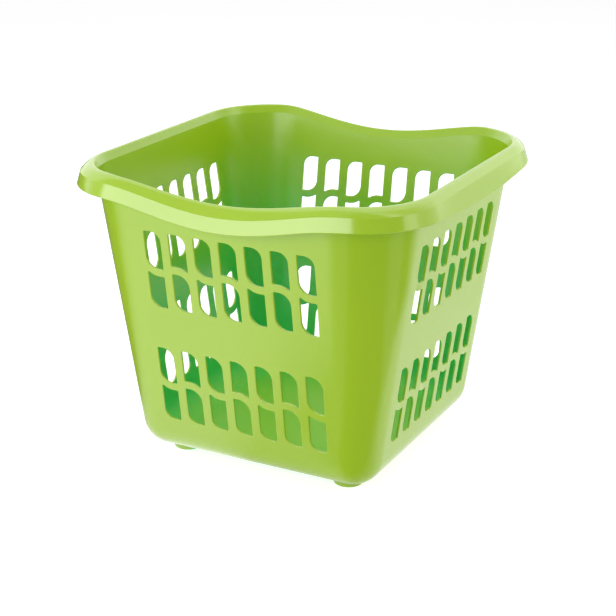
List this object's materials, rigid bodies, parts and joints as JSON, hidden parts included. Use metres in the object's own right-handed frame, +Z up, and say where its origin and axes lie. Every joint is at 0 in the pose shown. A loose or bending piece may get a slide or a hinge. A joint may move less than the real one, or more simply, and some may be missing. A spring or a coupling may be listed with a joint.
{
  "type": "laundry basket",
  "caption": "Square tapered plastic laundry basket with slotted leaning walls, rounded corners, low feet and a rolled rim whose overhanging skirt dips at front and rear.",
  "frame": {"origin": "middle of the footprint, on the surface that the feet stand on", "axes": "+Z up through the opening; -Y towards the front wall, whose rim dips in the middle; +X towards the right wall"},
  "size_m": [0.3992, 0.3986, 0.3242],
  "materials": {
    "polypropylene": "smooth satin moulding, lime green"
  },
  "bodies": {
    "root": {"floor_panel": "polypropylene", "foot_front_right": "polypropylene", "foot_rear_right": "polypropylene", "foot_rear_left": "polypropylene", "foot_front_left": "polypropylene", "base_edge_front": "polypropylene", "base_edge_right": "polypropylene", "base_edge_rear": "polypropylene", "base_edge_left": "polypropylene", "base_corner_front_right": "polypropylene", "base_corner_rear_right": "polypropylene", "base_corner_rear_left": "polypropylene", "base_corner_front_left": "polypropylene", "lattice_wall_front": "polypropylene", "lattice_wall_right": "polypropylene", "lattice_wall_rear": "polypropylene", "lattice_wall_left": "polypropylene", "corner_post_front_right": "polypropylene", "corner_post_rear_right": "polypropylene", "corner_post_rear_left": "polypropylene", "corner_post_front_left": "polypropylene", "rim_bead_front": "polypropylene", "rim_bead_right": "polypropylene", "rim_bead_rear": "polypropylene", "rim_bead_left": "polypropylene", "rim_bead_corner_front_right": "polypropylene", "rim_bead_corner_rear_right": "polypropylene", "rim_bead_corner_rear_left": "polypropylene", "rim_bead_corner_front_left": "polypropylene", "rim_skirt_front": "polypropylene", "rim_skirt_right": "polypropylene", "rim_skirt_rear": "polypropylene", "rim_skirt_left": "polypropylene", "rim_skirt_corner_front_right": "polypropylene", "rim_skirt_corner_rear_right": "polypropylene", "rim_skirt_corner_rear_left": "polypropylene", "rim_skirt_corner_front_left": "polypropylene"}
  },
  "joints": []
}
